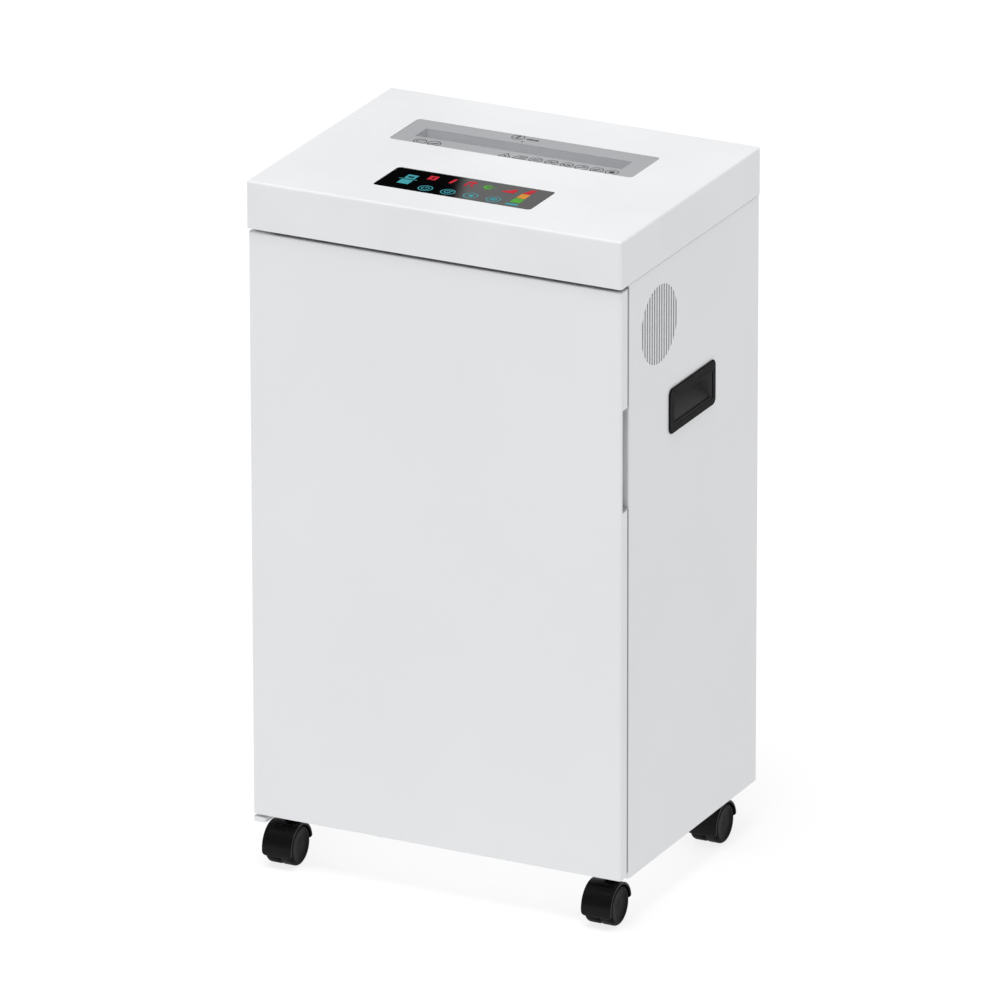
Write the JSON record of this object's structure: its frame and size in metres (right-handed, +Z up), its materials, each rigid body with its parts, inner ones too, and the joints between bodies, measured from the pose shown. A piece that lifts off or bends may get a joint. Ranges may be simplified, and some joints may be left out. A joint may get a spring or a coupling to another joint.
{
  "type": "paper shredder",
  "caption": "Free-standing office paper shredder: white sheet-metal cabinet on casters, hinged front door, pull-out bin, top-feed throat and touch panel.",
  "frame": {"origin": "on the floor, under the centre of the object's plan", "axes": "+Z up, +X to the right, +Y to the back, so the door faces -Y"},
  "size_m": [0.3974, 0.303, 0.7],
  "materials": {
    "cover": "satin white moulded plastic",
    "cabinet": "white powder coat, satin",
    "trim_grey": "satin mid-grey plastic",
    "fascia": "gloss black touch panel",
    "black_plastic": "fine-textured black plastic",
    "wheel_black": "smooth black tread",
    "steel": "bright zinc-plated steel",
    "cutter_steel": "oiled hardened steel",
    "bronze": "sintered bronze",
    "gear_plastic": "natural acetal",
    "motor_paint": "dark enamel",
    "board": "green solder mask",
    "bin_plastic": "grey moulded plastic"
  },
  "bodies": {
    "cabinet": {"left_side_panel": "cabinet", "right_side_panel": "cabinet", "back_panel": "cabinet", "base_tray": "cabinet", "head_deck": "steel", "head_front_plate": "cabinet", "top_cover": "cover", "throat_bezel": "trim_grey", "paper_guides": "steel", "control_fascia": "fascia", "control_board": "board", "infrared_eyes": "black_plastic", "left_side_handle": "black_plastic", "right_side_handle": "black_plastic", "hinge_brackets": "cabinet", "door_catch": "black_plastic", "door_sensor": "black_plastic", "left_frame_plate": "steel", "right_frame_plate": "steel", "frame_rods": "steel", "shaft_bushes": "bronze", "stripper_combs": "black_plastic", "discharge_chute": "black_plastic", "motor_housing": "motor_paint", "fan_frame": "black_plastic", "power_board": "board", "motor_capacitor": "black_plastic", "power_inlet": "black_plastic", "switch_housing": "black_plastic", "bin_guides": "trim_grey", "panel_screws": "steel", "caster_sockets": "steel"},
    "door": {"door_shell": "cabinet", "door_liner": "cabinet", "door_pull_cup": "trim_grey", "door_pivot_pins": "steel", "door_strike": "steel", "door_magnet": "steel"},
    "bin": {"waste_bin": "bin_plastic", "bin_handle": "bin_plastic"},
    "front_cutter": {"front_cutter_shaft": "steel", "front_cutter_discs": "cutter_steel", "drive_gear": "steel", "front_sync_gear": "steel"},
    "rear_cutter": {"rear_cutter_shaft": "steel", "rear_cutter_discs": "cutter_steel", "rear_sync_gear": "steel"},
    "idler": {"idler_gear": "gear_plastic"},
    "motor_armature": {"motor_rotor": "steel", "motor_pinion": "steel"},
    "fan": {"fan_rotor": "black_plastic"},
    "rocker": {"power_rocker": "black_plastic"},
    "rear_left_swivel": {"rear_left_caster_hood": "black_plastic"},
    "rear_left_wheels": {"rear_left_caster_wheels": "wheel_black"},
    "front_left_swivel": {"front_left_caster_hood": "black_plastic"},
    "front_left_wheels": {"front_left_caster_wheels": "wheel_black"},
    "rear_right_swivel": {"rear_right_caster_hood": "black_plastic"},
    "rear_right_wheels": {"rear_right_caster_wheels": "wheel_black"},
    "front_right_swivel": {"front_right_caster_hood": "black_plastic"},
    "front_right_wheels": {"front_right_caster_wheels": "wheel_black"}
  },
  "joints": [
    {"name": "door_hinge", "type": "hinge", "parent": "cabinet", "child": "door", "pos_m": [-0.19, -0.142, 0.35], "axis": [0, 0, -1], "range_deg": [0, 120]},
    {"name": "bin_slide", "type": "slide", "parent": "cabinet", "child": "bin", "axis": [0, -1, 0], "range_m": [0, 0.12576]},
    {"name": "front_cutter_spin", "type": "hinge", "parent": "cabinet", "child": "front_cutter", "pos_m": [0, 0.02775, 0.612], "axis": [1, 0, 0], "continuous": true},
    {"name": "rear_cutter_spin", "type": "hinge", "parent": "cabinet", "child": "rear_cutter", "pos_m": [0, 0.06575, 0.612], "axis": [1, 0, 0], "continuous": true},
    {"name": "idler_spin", "type": "hinge", "parent": "cabinet", "child": "idler", "pos_m": [0, -0.01907, 0.61607], "axis": [1, 0, 0], "continuous": true},
    {"name": "motor_spin", "type": "hinge", "parent": "cabinet", "child": "motor_armature", "pos_m": [0, -0.068, 0.5915], "axis": [1, 0, 0], "continuous": true},
    {"name": "fan_spin", "type": "hinge", "parent": "cabinet", "child": "fan", "pos_m": [0, -0.068, 0.5915], "axis": [1, 0, 0], "continuous": true},
    {"name": "power_switch", "type": "hinge", "parent": "cabinet", "child": "rocker", "pos_m": [0.106, 0.1468, 0.588], "axis": [0, 0, 1], "range_deg": [0, 14]},
    {"name": "rear_left_swivel", "type": "hinge", "parent": "cabinet", "child": "rear_left_swivel", "pos_m": [-0.1711, 0.1161, 0.045], "axis": [0, 0, 1], "continuous": true},
    {"name": "rear_left_roll", "type": "hinge", "parent": "rear_left_swivel", "child": "rear_left_wheels", "pos_m": [-0.1711, 0.104, 0.02], "axis": [1, 0, 0], "continuous": true},
    {"name": "front_left_swivel", "type": "hinge", "parent": "cabinet", "child": "front_left_swivel", "pos_m": [-0.1711, -0.1161, 0.045], "axis": [0, 0, 1], "continuous": true},
    {"name": "front_left_roll", "type": "hinge", "parent": "front_left_swivel", "child": "front_left_wheels", "pos_m": [-0.1711, -0.1282, 0.02], "axis": [1, 0, 0], "continuous": true},
    {"name": "rear_right_swivel", "type": "hinge", "parent": "cabinet", "child": "rear_right_swivel", "pos_m": [0.1711, 0.1161, 0.045], "axis": [0, 0, 1], "continuous": true},
    {"name": "rear_right_roll", "type": "hinge", "parent": "rear_right_swivel", "child": "rear_right_wheels", "pos_m": [0.1711, 0.104, 0.02], "axis": [1, 0, 0], "continuous": true},
    {"name": "front_right_swivel", "type": "hinge", "parent": "cabinet", "child": "front_right_swivel", "pos_m": [0.1711, -0.1161, 0.045], "axis": [0, 0, 1], "continuous": true},
    {"name": "front_right_roll", "type": "hinge", "parent": "front_right_swivel", "child": "front_right_wheels", "pos_m": [0.1711, -0.1282, 0.02], "axis": [1, 0, 0], "continuous": true}
  ],
  "couplings": [
    {"joint": "bin_slide", "follows": "door_hinge", "m_per_rad": 0.06},
    {"joint": "rear_cutter_spin", "follows": "front_cutter_spin", "ratio": -1},
    {"joint": "idler_spin", "follows": "front_cutter_spin", "ratio": -1.7647},
    {"joint": "motor_spin", "follows": "front_cutter_spin", "ratio": 5.8131}
  ]
}
